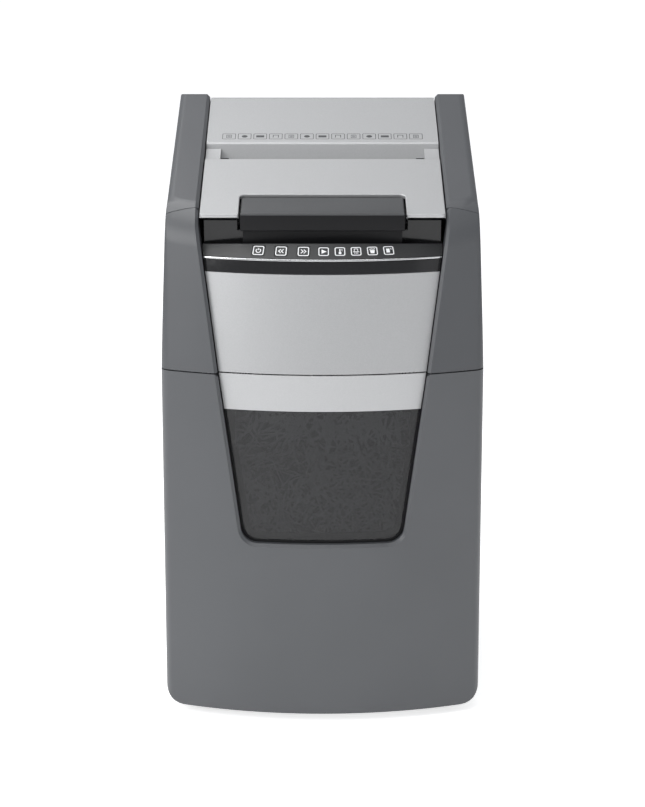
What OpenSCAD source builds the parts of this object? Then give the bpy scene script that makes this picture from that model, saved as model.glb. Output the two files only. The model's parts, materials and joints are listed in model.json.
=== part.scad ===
// Deskside paper shredder with an auto-feed tray under a hinged lid, a manual slot in the
// lid and a pull-out bin. X is to the right, Y to the back, Z up, and the floor is z = 0.

/* [Cabinet] */
// Width of the cabinet across the bin
body_w = 350; // [346:1:356]
// Depth from the middle of the bowed front to the back
body_d = 400; // [396:1:410]
// Height of the shut line between the bin and the head
seam_z = 395; // [393:1:397]
// Height of the rubber feet under the cabinet
foot_h = 10; // [8:1:12]
// Plan radius of the bowed front
bow_r = 440; // [420:10:520]
// Plan radius of the front corners
corner_r = 14; // [10:1:18]
// Thickness of the outer shells
wall = 3; // [2.5:0.1:3.2]

/* [Head] */
// Width of the head across the rails
head_w = 339; // [336:1:342]
// Backward lean of the head's front, in degrees
lean = 11; // [9:0.5:12]
// Slope of the lid and rails, in degrees
top_slope = 15; // [14:0.5:16]
// Height of the lid plane above the hinge
ridge_z = 644; // [642:1:648]
// Height of the rails above the lid plane
rail_rise = 4; // [2:0.5:5]
// Radius between the head's front and its top
shoulder_r = 65; // [60:5:80]
// Radius along the outer edges of the rails
rail_edge_r = 8; // [4:1:9]
// Set-back of the silver parts behind the dark side parts
recess = 9; // [7:0.5:10]

/* [Lid] */
// Width of the lid between the rails
lid_w = 265.2; // [262:0.2:265.4]
// Radius of the lid's hinge pins
lid_pin_r = 4; // [3:0.5:5]
// Radial running clearance of every pin in its bore
run_gap = 0.05; // [0.03:0.01:0.08]

/* [Cutters] */
// Distance between the two cutter shafts
shaft_gap = 42; // [42:1:42]
// Outside radius of a cutting disc
disc_r = 23.5; // [22.5:0.5:24]
// Spacing of the discs along one shaft
disc_pitch = 8; // [8:1:8]
// Number of discs on each shaft
disc_count = 26; // [20:1:26]

/* [Bin] */
// Height of the tub's rim
tub_top = 372; // [350:1:376]
// Wall thickness of the tub
tub_wall = 2.5; // [2:0.1:3]

/* [Hidden] */

$fn = 32;
eps = 0.01;
front_y = -body_d / 2;
back_y = body_d / 2;
shut = 0.6;

// The opening in the middle of the front widens upwards along one straight line
open_seam = 113;
open_rate = 0.137;
open_max = 134;
function open_half(z) = min(open_max, open_seam + open_rate * (z - seam_z));

// Lid plane and hinge
ridge_y = 176;
hinge_r = 24;
function top_z(y) = ridge_z + (y - ridge_y) * tan(top_slope);
hinge_z = ridge_z - hinge_r / cos(top_slope);

// Sheet tray under the lid
tray_y0 = -121;
tray_y1 = 188;
tray_z0 = 522;
tray_slope = 8;
function tray_z(y) = tray_z0 + (y - tray_y0) * tan(tray_slope);

// Cutter and gear centres, each as [y, z]
throat_y = 22;
cutter_z = 497;
front_c = [throat_y - shaft_gap / 2, cutter_z];
rear_c = [throat_y + shaft_gap / 2, cutter_z];
shaft_r = 7;
core_r = 10;
module_c = 1.5;
module_m = 1;
timing_t = 28;
main_t = 42;
pinion_t = 14;
wheel_t = 70;
idler_t = 18;
roller_t = 22;
wheel_angle = -40;
motor_angle = -20;
function polar(r, a) = [r * cos(a), r * sin(a)];
function pitch(m, t) = m * t / 2;
wheel_c = rear_c + polar(pitch(module_c, main_t + pinion_t), wheel_angle);
motor_c = wheel_c + polar(pitch(module_m, wheel_t + pinion_t), motor_angle);
roller_r = 14;
roller_rise = 3;
function roller_centre(y) = [y, tray_z(y) + roller_rise - roller_r];
front_roller_c = roller_centre(-58);
rear_roller_c = roller_centre(88);
roller_shaft_r = 4;

// Meeting point of two circles about a and b, on the side given by s
function meet(a, ra, b, rb, s) =
    let (d = norm(b - a), u = (b - a) / d)
    let (p = (d * d + ra * ra - rb * rb) / (2 * d), h = sqrt(ra * ra - p * p))
    a + u * p + [-u.y, u.x] * h * s;
idler_reach = pitch(module_c, timing_t + idler_t);
roller_reach = pitch(module_c, idler_t + roller_t);
front_idler_c = meet(front_c, idler_reach, front_roller_c, roller_reach, 1);
rear_idler_c = meet(rear_c, idler_reach, rear_roller_c, roller_reach, -1);
function heading(a, b) = atan2(b.y - a.y, b.x - a.x);

// Turn of gear b so that its gaps meet the teeth of gear a, turned by phase_a
function mesh(phase_a, teeth_a, teeth_b, line) =
    line + 180 + (line - phase_a) * teeth_a / teeth_b + 180 / teeth_b;
timing_front_turn = mesh(0, timing_t, timing_t, 180);
reduction_turn = mesh(0, main_t, pinion_t, wheel_angle);
motor_turn = mesh(reduction_turn, wheel_t, pinion_t, motor_angle);
front_idler_line = heading(front_c, front_idler_c);
front_idler_turn = mesh(timing_front_turn, timing_t, idler_t, front_idler_line);
front_roller_line = heading(front_idler_c, front_roller_c);
front_roller_turn = mesh(front_idler_turn, idler_t, roller_t, front_roller_line);
rear_idler_line = heading(rear_c, rear_idler_c);
rear_idler_turn = mesh(0, timing_t, idler_t, rear_idler_line);
rear_roller_line = heading(rear_idler_c, rear_roller_c);
rear_roller_turn = mesh(rear_idler_turn, idler_t, roller_t, rear_roller_line);

// Places of the frame plates and gears along the shafts
plate_x = 118;
plate_t = 3;
gear_x = 124;
gear_w = 9;
wheel_x = 135;
wheel_w = 6;

// Control strip
key_tilt = 42;
key_size = 13.6;
key_gap = 0.4;
key_xs = [-68.8, -44.4, -20.4];
lens_xs = [1.2, 18.7, 36, 53.5, 71];
strip_z = 516;
strip_y = -167;
panel_rise = 14;
panel_run = 15.5;
panel_crown = 3.8;

// Handle
handle_half = 88.5;
handle_pivot = [-96, 560];
handle_pin_r = 2.5;

// Pressure plate
plate_pivot = [140, top_z(140) - 25];
plate_half = 118;

/* Outline helpers */
function unit(v) = v / norm(v);
function arc(c, r, a0, a1, n = 8) = [for (i = [0:n]) c + polar(r, a0 + (a1 - a0) * i / n)];
function turn(a) = a > 180 ? a - 360 : a < -180 ? a + 360 : a;
function fillet(a, b, c, r, n) = r <= 0 ? [b] :
    let (u = unit(a - b), v = unit(c - b), half = acos(u * v) / 2)
    let (m = b + unit(u + v) * r / sin(half), s = b + u * r / tan(half), e = b + v * r / tan(half))
    let (a0 = heading(m, s), a1 = a0 + turn(heading(m, e) - a0))
    arc(m, r, a0, a1, n);
function rounded(p, r, n = 6) =
    let (k = len(p))
    [for (i = [0:k - 1]) each fillet(p[(i + k - 1) % k], p[i], p[(i + 1) % k], r[i], n)];

// Plan outline with a bowed front, inset all round by t
function plan(w, back, t) =
    let (x = w / 2 - corner_r, cy = front_y + bow_r, reach = bow_r - corner_r)
    let (y = cy - sqrt(reach * reach - x * x), a = asin(x / reach), rear_r = 10)
    concat(
        arc([-x, y], corner_r - t > 0.5 ? corner_r - t : 0.5, 180, 270 - a, 5),
        arc([0, cy], bow_r - t, 270 - a, 270 + a, 24),
        arc([x, y], corner_r - t > 0.5 ? corner_r - t : 0.5, 270 + a, 360, 5),
        arc([w / 2 - rear_r, back - rear_r], max(rear_r - t, 0.5), 0, 90, 4),
        arc([-w / 2 + rear_r, back - rear_r], max(rear_r - t, 0.5), 90, 180, 4)
    );

// Solids extruded along X, with an outline in Y and Z, and along Y, with one in X and Z
module along_x(x0, x1, points) {
    translate([x0, 0, 0]) rotate([90, 0, 90]) linear_extrude(x1 - x0) polygon(points);
}
module along_y(y0, y1, points) {
    translate([0, y1, 0]) rotate([90, 0, 0]) linear_extrude(y1 - y0) polygon(points);
}
module box(x0, x1, y0, y1, z0, z1) {
    translate([x0, y0, z0]) cube([x1 - x0, y1 - y0, z1 - z0]);
}
module rod(c, r, x0, x1) {
    translate([x0, c.x, c.y]) rotate([0, 90, 0]) cylinder(r = r, h = x1 - x0);
}
module both_sides() {
    children();
    mirror([1, 0, 0]) children();
}
module upright(t, z0, z1, back = back_y) {
    translate([0, 0, z0]) linear_extrude(z1 - z0) polygon(plan(body_w, back - t, t));
}
module leaning(t) {
    translate([0, front_y, seam_z]) rotate([-lean, 0, 0]) translate([0, -front_y, -70])
        linear_extrude(520) polygon(plan(body_w, 460, t));
}

// Rounded shoulder, inset by t: bowed prisms tangent to a circle between the leaning front
// and the top. Each prism bows less than the one before it, down to none at the flat top.
shoulder_steps = 8;
shoulder_down = 300;
shoulder_up = 400;
shoulder_back = 500;
rail_top = ridge_z + rail_rise;
function apex(t) =
    let (front = front_y - seam_z * tan(lean) + t / cos(lean), top = rail_top - t / cos(top_slope))
    let (z = (top + (front - ridge_y) * tan(top_slope)) / (1 - tan(lean) * tan(top_slope)))
    [front + z * tan(lean), z];
module shoulder_facet(a, t) {
    r = shoulder_r - t;
    turned = 90 - top_slope - lean;
    centre = apex(t) + [cos(top_slope), sin(top_slope)] * r * tan(turned / 2)
        + [sin(top_slope), -cos(top_slope)] * r;
    share = sin(90 - top_slope - a) / sin(turned);
    half = body_w / 2 - t;
    bow = [for (p = plan(body_w, back_y, t)) if (p.y < 0) [p.x, (p.y - front_y - t) * share]];
    translate([0, centre.x - r * cos(a), centre.y + r * sin(a)]) rotate([-a, 0, 0])
        translate([0, 0, -shoulder_down]) linear_extrude(shoulder_down + shoulder_up)
            polygon(concat(bow, [[half, shoulder_back], [-half, shoulder_back]]));
}
module shoulder(t) {
    step = (90 - top_slope - lean) / shoulder_steps;
    intersection_for (k = [1:shoulder_steps - 1]) shoulder_facet(lean + k * step, t);
}

// Opening in the bin's front, grown all round by g
window_low = 206;
window_corner = 18;
function opening(g, z1) = rounded([
    [-open_half(z1) - g, z1], [-open_half(window_low) - g, window_low - g],
    [open_half(window_low) + g, window_low - g], [open_half(z1) + g, z1]
], [0, window_corner + g, window_corner + g, 0]);

// Lower cabinet and bin front: bowed plan with rounded lower corners, inset by t
low_corner = 20;
module cabinet_form(t) {
    intersection() {
        upright(t, 0, seam_z + 40);
        along_y(front_y - 50, back_y + 50, rounded([
            [-body_w / 2 + t, seam_z + 40], [-body_w / 2 + t, foot_h + t],
            [body_w / 2 - t, foot_h + t], [body_w / 2 - t, seam_z + 40]
        ], [0, low_corner - t, low_corner - t, 0]));
    }
}

// Head: leaning bowed front, drafted sides, sloped top and round edges, inset by t
shoulder_z = 563;
edge_down = 300;
edge_flare = 45;
module head_form(t) {
    back = back_y - t;
    top = rail_top - t / cos(top_slope);
    half = head_w / 2 - t;
    low_half = body_w / 2 - t;
    intersection() {
        leaning(t);
        shoulder(t);
        along_x(-body_w, body_w, rounded([
            [-300, seam_z - 5], [-300, top + (-300 - ridge_y) * tan(top_slope)],
            [back, top + (back - ridge_y) * tan(top_slope)], [back, seam_z - 5]
        ], [0, 0, hinge_r - t, 0], 8));
        along_y(front_y - 50, back_y + 50, [
            [-low_half, seam_z - 5], [low_half, seam_z - 5], [low_half, seam_z], [half, shoulder_z],
            [half, 720], [-half, 720], [-half, shoulder_z], [-low_half, seam_z]
        ]);
        translate([0, ridge_y, top]) rotate([top_slope, 0, 0]) along_y(-500, 100, rounded([
            [-half - edge_flare, -edge_down], [half + edge_flare, -edge_down],
            [half, -rail_edge_r - 1], [half, 0], [-half, 0], [-half, -rail_edge_r - 1]
        ], [0, 0, 0, rail_edge_r - t, rail_edge_r - t, 0], 5));
    }
}

// Everything to the right of the middle opening, whose edge is moved outwards by g
open_top_z = seam_z + (open_max - open_seam) / open_rate;
module right_of_opening(g) {
    along_y(front_y - 50, back_y + 50, [
        [open_half(seam_z - 5) + g, seam_z - 5], [body_w, seam_z - 5], [body_w, 720],
        [open_max + g, 720], [open_max + g, open_top_z]
    ]);
}

// Cut between a rail and the side part under it, moved up by g
cut_y = -123.5;
cut_z = 549;
cut_slope = 6;
function rail_cut(g) = [
    [cut_y + g, cut_z + g], [cut_y + g + 2, 720], [260, 720],
    [260, cut_z + g + (260 - cut_y) * tan(cut_slope)]
];

module gear_outline(m, teeth, backlash = 0.16) {
    pr = pitch(m, teeth);
    tip = pr + 0.8 * m;
    root = pr - 1.1 * m;
    base = pr * cos(20);
    inv20 = tan(20) * 180 / PI - 20;
    half = 90 / teeth + inv20 - backlash / 2 / pr * 180 / PI;
    function roll(r) = r <= base ? 0 : sqrt(r * r / base / base - 1) * 180 / PI;
    function flank(r) = half - (roll(r) - atan(roll(r) * PI / 180));
    radii = [root, max(root + 0.1, min(base, pr - 0.4 * m)), pr, pr + 0.45 * m, tip];
    polygon([for (i = [0:teeth - 1]) each concat(
        [for (r = radii) polar(r, i * 360 / teeth - flank(r))],
        [for (k = [len(radii) - 1:-1:0]) polar(radii[k], i * 360 / teeth + flank(radii[k]))]
    )]);
}
module gear(c, m, teeth, phase, x0, w, bore) {
    translate([x0, c.x, c.y]) rotate([90, 0, 90]) linear_extrude(w) difference() {
        rotate(phase) gear_outline(m, teeth);
        if (bore > 0) circle(r = bore);
    }
}

/* Cabinet */
side_front_y = -117;
module base_pan() {
    color("dimgray") difference() {
        union() {
            box(-149.6, 149.6, -155, back_y - 3.4, foot_h + 1, foot_h + 5);
            both_sides() {
                box(141, 144, -150, back_y - 6, foot_h + 5 - eps, foot_h + 11);
                box(108, 124, -150, 150, foot_h + 5 - eps, foot_h + 12);
            }
        }
        for (x = [-125, 125], y = [-125, 165]) translate([x, y, 0]) cylinder(r = 4, h = 40);
    }
}

module side_panel() {
    color("dimgray") difference() {
        intersection() {
            cabinet_form(0);
            box(150, body_w, side_front_y, back_y + 1, 0, seam_z);
        }
        intersection() {
            cabinet_form(wall);
            box(0, body_w, side_front_y - 1, back_y + 1, 0, seam_z + 1);
        }
    }
}
module side_panel_left() { mirror([1, 0, 0]) side_panel(); }
module side_panel_right() { side_panel(); }

screw_spots = [for (x = [-138, 138], z = [40, 370]) [x, z]];
module back_panel() {
    color("dimgray") difference() {
        box(-149.6, 149.6, back_y - wall, back_y, foot_h + 2, seam_z);
        for (s = screw_spots) translate([s.x, back_y + 1, s.y]) rotate([90, 0, 0]) {
            cylinder(r = 2, h = 10);
            cylinder(r = 4.2, h = 2.6);
        }
        for (x = [-80:20:80]) box(x - 2, x + 2, back_y - 10, back_y + 10, 90, 150);
    }
}

module rubber_feet() {
    color("black") for (x = [-125, 125], y = [-125, 165]) translate([x, y, 0]) {
        cylinder(r = 14, h = foot_h + 1);
        cylinder(r = 3.9, h = foot_h + 6);
    }
}

/* Head shell */
module head_floor() {
    color("darkgray") difference() {
        union() {
            box(-166, 166, -118, 190, seam_z + 2, seam_z + 6);
            box(-112, 112, -160, -118 + eps, seam_z + 2, seam_z + 6);
            both_sides() box(106, 109, -16, 58, seam_z + 6 - eps, seam_z + 40);
        }
        box(-105, 105, -15, 60, 0, 600);
    }
}

module head_side() {
    color("dimgray") difference() {
        intersection() {
            head_form(0);
            right_of_opening(0);
            box(0, body_w, front_y - 50, back_y + 50, seam_z + shut, 720);
        }
        intersection() {
            head_form(wall);
            right_of_opening(wall);
        }
        along_x(0, body_w, rail_cut(0));
        along_x(open_seam - 10, open_max + wall + 2, [
            [-119, seam_z - 6], [-119, tray_z(-119) + 10], [192, tray_z(192) + 10], [192, seam_z - 6]
        ]);
    }
}
module head_side_left() { mirror([1, 0, 0]) head_side(); }
module head_side_right() { head_side(); }

module rail() {
    color("dimgray") difference() {
        intersection() {
            head_form(0);
            right_of_opening(0);
            along_x(0, body_w, rail_cut(0.8));
        }
        intersection() {
            head_form(wall);
            right_of_opening(wall);
        }
        rod([ridge_y, hinge_z], lid_pin_r + run_gap, 120, 140);
    }
}
module rail_left() { mirror([1, 0, 0]) rail(); }
module rail_right() { rail(); }

rear_y0 = 194;
rear_y1 = 197;
rear_top = 600;
gland_at = [95, 430];
switch_at = [-80, 430];
cover_screws = [for (x = [-1, 1], z = [412, 585]) [x * (open_half(z) - 8), z]];
module rear_cover() {
    color("dimgray") difference() {
        along_y(rear_y0, rear_y1, [
            [-open_half(seam_z + 1) + 0.6, seam_z + 1], [open_half(seam_z + 1) - 0.6, seam_z + 1],
            [open_max - 0.6, open_top_z], [open_max - 0.6, rear_top],
            [-open_max + 0.6, rear_top], [-open_max + 0.6, open_top_z]
        ]);
        for (x = [-60:12:60]) box(x - 1.8, x + 1.8, 180, 210, 450, 500);
        translate([gland_at.x, 180, gland_at.y]) rotate([-90, 0, 0]) cylinder(r = 9, h = 30);
        box(switch_at.x - 10.5, switch_at.x + 10.5, 180, 210, switch_at.y - 15, switch_at.y + 15);
        for (s = cover_screws) translate([s.x, 180, s.y]) rotate([-90, 0, 0]) cylinder(r = 2, h = 30);
    }
}

module middle_prism(z0, z1, side_gap) {
    along_y(front_y - 50, 0, [
        [-open_half(z0) + side_gap, z0], [open_half(z0) - side_gap, z0],
        [open_half(z1) - side_gap, z1], [-open_half(z1) + side_gap, z1]
    ]);
}
module middle_band(t0, t1, z0, z1, side_gap) {
    intersection() {
        difference() {
            leaning(t0);
            leaning(t1);
        }
        middle_prism(z0, z1, side_gap);
    }
}
band_low = 500.5;
module front_panel() {
    color("silver") middle_band(recess, recess + 2.5, seam_z + shut, band_low, 1);
}
module accent_band() {
    color("black") middle_band(recess + 0.3, recess + 2.5, band_low + 0.3, strip_z - 1.6, 1);
}
module chrome_strip() {
    color("gainsboro") middle_band(recess - 0.9, recess + 2.5, strip_z - 1.3, strip_z + 0.6, 1);
}

// Sloped control strip, as the hull of two bowed slices, the upper one set back
front_offset = strip_y - front_y;
panel_low = strip_z + 0.9;
panel_back = front_offset + panel_run + 1.2;
module bowed_slice(t, z) {
    intersection() {
        upright(t, z, z + 0.1);
        box(-129.6, 129.6, front_y, -120, 0, 600);
    }
}
module panel_form() {
    intersection() {
        hull() {
            bowed_slice(front_offset, panel_low);
            bowed_slice(front_offset + panel_run, panel_low + panel_rise - 0.1);
        }
        along_y(front_y, 0, concat(
            [[200, 0], [-200, 0]],
            [for (x = [-130:10:130]) [x, panel_low + panel_rise - panel_crown * x * x / 16900]]
        ));
        middle_prism(panel_low - 1, panel_low + panel_rise + 1, 1);
    }
}
key_mid_z = panel_low + panel_rise / 2;
function key_turn(x) = asin(x / (bow_r - front_offset));
function bow(x, t) = front_y + bow_r - sqrt(pow(bow_r - t, 2) - x * x);
module at_key(x) {
    translate([x, bow(x, front_offset) + panel_run / 2 + 0.1, key_mid_z]) rotate([0, 0, key_turn(x)])
        rotate([key_tilt, 0, 0]) children();
}
module tile(w, d, z0, z1, r = 2) {
    translate([0, 0, z0]) linear_extrude(z1 - z0)
        polygon(rounded([[-w, -d] / 2, [w, -d] / 2, [w, d] / 2, [-w, d] / 2], [r, r, r, r], 3));
}
module control_panel() {
    color("dimgray") difference() {
        panel_form();
        translate([0, 2.4, -2]) panel_form();
        upright(panel_back, 500, 560);
        for (x = key_xs) at_key(x) tile(key_size + 2 * key_gap, key_size + 2 * key_gap, -8, 8);
        for (x = lens_xs) at_key(x) tile(12.8, 12.8, -8, 8);
    }
}
module indicator_lenses() {
    color("dimgray") for (x = lens_xs) at_key(x) tile(12.6, 12.6, -2.6, -0.1);
}
module key(x) {
    color("dimgray") at_key(x) {
        tile(key_size, key_size, -4.6, 0.1);
    }
}
module power_key() { key(key_xs[0]); }
module reverse_key() { key(key_xs[1]); }
module forward_key() { key(key_xs[2]); }

module control_board() {
    color("darkgreen") translate([0, -156, strip_z - 10]) rotate([key_tilt, 0, 0])
        box(-62, 62, -2, 12, -1.6, 0);
}

// Black well in front of the lid: a floor behind the control strip and a low back wall
well_back = -124;
well_floor = 521;
module recess_trim() {
    color("black") difference() {
        union() {
            intersection() {
                upright(panel_back + 0.4, well_floor - 2.5, well_floor);
                box(-128.6, 128.6, front_y, well_back + 1, 0, 600);
            }
            box(-128.6, 128.6, well_back - 1.2, well_back + 1, well_floor - eps, 552);
        }
        box(-92, 92, well_back - 2, well_back + 2, 541, 560);
    }
}

/* Sheet tray */
module paper_tray() {
    half = 122.5;
    color("dimgray") difference() {
        along_x(-half, half, [
            [tray_y0, tray_z(tray_y0) - 2.5], [tray_y1, tray_z(tray_y1) - 2.5],
            [tray_y1, 588], [150, 588], [tray_y0, top_z(tray_y0) - 24]
        ]);
        along_x(-half + 2, half - 2, [
            [tray_y0 + 2, tray_z(tray_y0 + 2)], [tray_y1 - 2, tray_z(tray_y1 - 2)],
            [tray_y1 - 2, 640], [tray_y0 + 2, 640]
        ]);
        box(-114, 114, throat_y - 9, throat_y + 9, 400, 700);
        for (c = [front_roller_c, rear_roller_c], x = [-60, 60])
            box(x - 24, x + 24, c.x - 13, c.x + 13, 400, 700);
    }
}

/* Cutter block */
plate_top_gap = 4;
module plate_holes() {
    for (c = [front_c, rear_c]) rod(c, 11, -200, 200);
    for (c = [front_roller_c, rear_roller_c]) rod(c, roller_shaft_r + run_gap, -200, 200);
}
module cutter_frame_left() {
    y0 = -76;
    y1 = 116;
    color("lightgray") difference() {
        along_x(-plate_x - plate_t, -plate_x, [
            [y0, tray_z(y0) - plate_top_gap], [y0, 500], [-32, seam_z + 6.2], [70, seam_z + 6.2],
            [y1, 500], [y1, tray_z(y1) - plate_top_gap]
        ]);
        plate_holes();
    }
}
module cutter_frame_right() {
    y0 = -76;
    y1 = 160;
    color("lightgray") difference() {
        along_x(plate_x, plate_x + plate_t, [
            [y0, tray_z(y0) - plate_top_gap], [y0, 500], [-32, seam_z + 6.2], [y1, seam_z + 6.2],
            [y1, tray_z(y1) - plate_top_gap]
        ]);
        plate_holes();
        rod(motor_c, 9, 0, 200);
    }
}
tie_spots = [[-26, 415], [66, 415], [-70, 505]];
module tie_bars() {
    color("silver") for (c = tie_spots) rod(c, 4, -plate_x, plate_x);
}
module shaft_bearings() {
    color("goldenrod") for (c = [front_c, rear_c], s = [0, 1]) mirror([s, 0, 0]) difference() {
        union() {
            rod(c, 11, plate_x, plate_x + plate_t);
            rod(c, 13, plate_x - 2, plate_x);
        }
        rod(c, shaft_r + run_gap, 100, 140);
    }
}
disc_w = 3.2;
first_disc = -disc_pitch * (disc_count - 0.5) / 2;
module stripper_combs() {
    color("dimgray") for (s = [0, 1]) translate([0, 2 * throat_y * s, 0]) mirror([0, s, 0]) {
        along_x(-plate_x, plate_x, [
            [front_c.x - disc_r - 9, 488], [front_c.x - disc_r - 4, 488],
            [front_c.x - disc_r - 4, 506], [front_c.x - disc_r - 9, 506]
        ]);
        for (i = [0:disc_count - 2])
            box(first_disc + s * disc_pitch / 2 + disc_pitch * i + disc_w + 0.8,
                first_disc + s * disc_pitch / 2 + disc_pitch * (i + 1) - 0.8,
                front_c.x - disc_r - 4 - eps, front_c.x - core_r - 1.2, 492, 502);
    }
}
module cutter(c, offset, spin) {
    color("silver") {
        rod(c, core_r, -plate_x + 2.4, plate_x - 2.4);
        for (i = [0:disc_count - 1]) translate([first_disc + offset + disc_pitch * i, c.x, c.y])
            rotate([90, 0, 90]) linear_extrude(disc_w) rotate(spin * (i % 3) * 13) polygon([
                for (k = [0:8]) each [polar(disc_r, k * 40), polar(disc_r - 4, spin * 6 + k * 40)]
            ]);
        rod(c, shaft_r, -gear_x - gear_w - 0.6, gear_x + gear_w + 0.6);
    }
}
module drive_cutter() {
    cutter(rear_c, disc_pitch / 2, 1);
    color("dimgray") {
        gear(rear_c, module_c, timing_t, 0, -gear_x - gear_w, gear_w, shaft_r - 1);
        gear(rear_c, module_c, main_t, 0, gear_x, gear_w, shaft_r - 1);
    }
}
module driven_cutter() {
    cutter(front_c, 0, -1);
    color("dimgray")
        gear(front_c, module_c, timing_t, timing_front_turn, -gear_x - gear_w, gear_w, shaft_r - 1);
}

/* Gear train and motor */
gear_pin_r = 4;
module reduction_gear() {
    color("ivory") difference() {
        union() {
            gear(wheel_c, module_c, pinion_t, reduction_turn, gear_x, wheel_x - gear_x + eps, 0);
            gear(wheel_c, module_m, wheel_t, reduction_turn, wheel_x, wheel_w, 0);
        }
        rod(wheel_c, gear_pin_r + run_gap, 100, 160);
    }
}
module idler(c, phase) {
    color("ivory") gear(c, module_c, idler_t, phase, -gear_x - gear_w, gear_w, gear_pin_r + run_gap);
}
module front_idler() { idler(front_idler_c, front_idler_turn); }
module rear_idler() { idler(rear_idler_c, rear_idler_turn); }
module gear_pins() {
    color("silver") {
        rod(wheel_c, gear_pin_r, plate_x + plate_t, wheel_x + wheel_w + 1);
        for (c = [front_idler_c, rear_idler_c]) rod(c, gear_pin_r, -gear_x - gear_w - 1, -plate_x - plate_t);
    }
}
module feed_roller(c, phase) {
    color("dimgray") {
        rod(c, roller_shaft_r, -gear_x - gear_w, plate_x + plate_t + 2);
        for (x = [-60, 60]) rod(c, roller_r, x - 20, x + 20);
        gear(c, module_c, roller_t, phase, -gear_x - gear_w, gear_w, roller_shaft_r - 1);
    }
}
module front_roller() { feed_roller(front_roller_c, front_roller_turn); }
module rear_roller() { feed_roller(rear_roller_c, rear_roller_turn); }

motor_r = 38;
motor_half = 62;
motor_shaft_r = 4;
module motor_can() {
    color("silver") difference() {
        union() {
            rod(motor_c, motor_r, -motor_half, motor_half);
            rod(motor_c, 12, motor_half, motor_half + 6);
        }
        rod(motor_c, motor_r - 2.5, -motor_half + 3, motor_half - 3);
        rod(motor_c, motor_shaft_r + run_gap, -100, 100);
    }
}
module motor_rotor() {
    color("darkgray") {
        rod(motor_c, motor_shaft_r, -motor_half - 22, wheel_x + wheel_w + 1);
        rod(motor_c, motor_r - 8, -motor_half + 12, motor_half - 12);
        gear(motor_c, module_m, pinion_t, motor_turn, wheel_x, wheel_w, motor_shaft_r - 1);
    }
}
module motor_fan() {
    fan_x = -motor_half - 20;
    color("ivory") {
        difference() {
            rod(motor_c, 10, fan_x, fan_x + 12);
            rod(motor_c, motor_shaft_r + 0.02, fan_x - 1, fan_x + 20);
        }
        for (k = [0:7]) translate([fan_x, motor_c.x, motor_c.y]) rotate([k * 45, 0, 0])
            box(1, 11, -0.9, 0.9, 9, 32);
    }
}
module motor_bracket() {
    color("lightgray") for (s = [-1, 1]) difference() {
        box(s * 48 - 5, s * 48 + 5, motor_c.x - 30, motor_c.x + 30, seam_z + 6, motor_c.y - 8);
        rod(motor_c, motor_r + 0.1, -100, 100);
    }
}
module gear_cover() {
    color("dimgray") {
        along_x(wheel_x + wheel_w + 3, wheel_x + wheel_w + 5, rounded([
            [0, 425], [130, 425], [130, 508], [88, 535], [0, 535]
        ], [6, 6, 6, 6, 6], 3));
        for (c = [[6, 431], [124, 431], [6, 529], [118, 512]])
            rod(c, 3, plate_x + plate_t, wheel_x + wheel_w + 3 + eps);
    }
}

/* Electrics */
module power_board() {
    color("darkgreen") box(-100, 40, -140, -60, seam_z + 14, seam_z + 15.6);
    color("darkgray") {
        for (x = [-94, 34], y = [-134, -66]) translate([x, y, seam_z + 6]) cylinder(r = 3, h = 8);
        box(-80, -45, -125, -85, seam_z + 15.6, seam_z + 43);
        for (x = [-20, 0, 20]) translate([x, -110, seam_z + 15.6]) cylinder(r = 7, h = 24);
    }
}
module motor_capacitor() {
    color("gray") rod([-100, seam_z + 25], 18, 55, 115);
    color("gray") for (x = [62, 100]) box(x, x + 6, -118, -82, seam_z + 6, seam_z + 8);
}
module paper_sensor() {
    color("black") for (y = [throat_y - 16, throat_y + 11]) box(-6, 6, y, y + 5, 525, 535);
}
module bin_switch() {
    color("black") {
        box(95, 115, 153, 165, seam_z - 22, seam_z + 2);
        box(103, 107, 151, 153 + eps, seam_z - 18, seam_z - 14);
    }
}
gland_bore_r = 4.2;
module cord_gland() {
    color("black") translate([gland_at.x, rear_y0 - 6, gland_at.y]) rotate([-90, 0, 0]) difference() {
        union() {
            cylinder(r = 8.9, h = 9);
            translate([0, 0, 9]) cylinder(r = 12, h = 2.8);
            cylinder(r = 11, h = 5.5);
        }
        translate([0, 0, -1]) cylinder(r = gland_bore_r, h = 20);
    }
}
module switch_block(half_x, half_z, y0, y1) {
    box(switch_at.x - half_x, switch_at.x + half_x, y0, y1, switch_at.y - half_z, switch_at.y + half_z);
}
module switch_housing() {
    color("black") difference() {
        union() {
            switch_block(10.3, 14.8, rear_y0 - 14, rear_y1);
            switch_block(12.5, 17, rear_y1, back_y - 1);
        }
        switch_block(8, 12, rear_y0 - 4, back_y);
        rod(rocker_c, rocker_pin_r + run_gap, switch_at.x - 9.4, switch_at.x + 9.4);
    }
}
rocker_c = [193.5, switch_at.y];
rocker_pin_r = 1.5;
rocker_tilt = 8;
module power_rocker() {
    color("dimgray") {
        translate([0, rocker_c.x, rocker_c.y]) rotate([rocker_tilt, 0, 0])
            along_x(switch_at.x - 7.7, switch_at.x + 7.7, [
                [-1, -11.2], [3.4, -11.2], [2.4, 0], [3.4, 11.2], [-1, 11.2]
            ]);
        rod(rocker_c, rocker_pin_r, switch_at.x - 9.2, switch_at.x + 9.2);
    }
}
module screws() {
    color("silver") {
        for (s = cover_screws) translate([s.x, rear_y1, s.y]) rotate([-90, 0, 0]) {
            cylinder(r = 3.6, h = 2);
            translate([0, 0, -7]) cylinder(r = 1.9, h = 7);
        }
        for (s = screw_spots) translate([s.x, back_y - 1.6, s.y]) rotate([-90, 0, 0]) {
            cylinder(r = 3.6, h = 1.4);
            translate([0, 0, -9]) cylinder(r = 1.9, h = 9);
        }
    }
}

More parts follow.
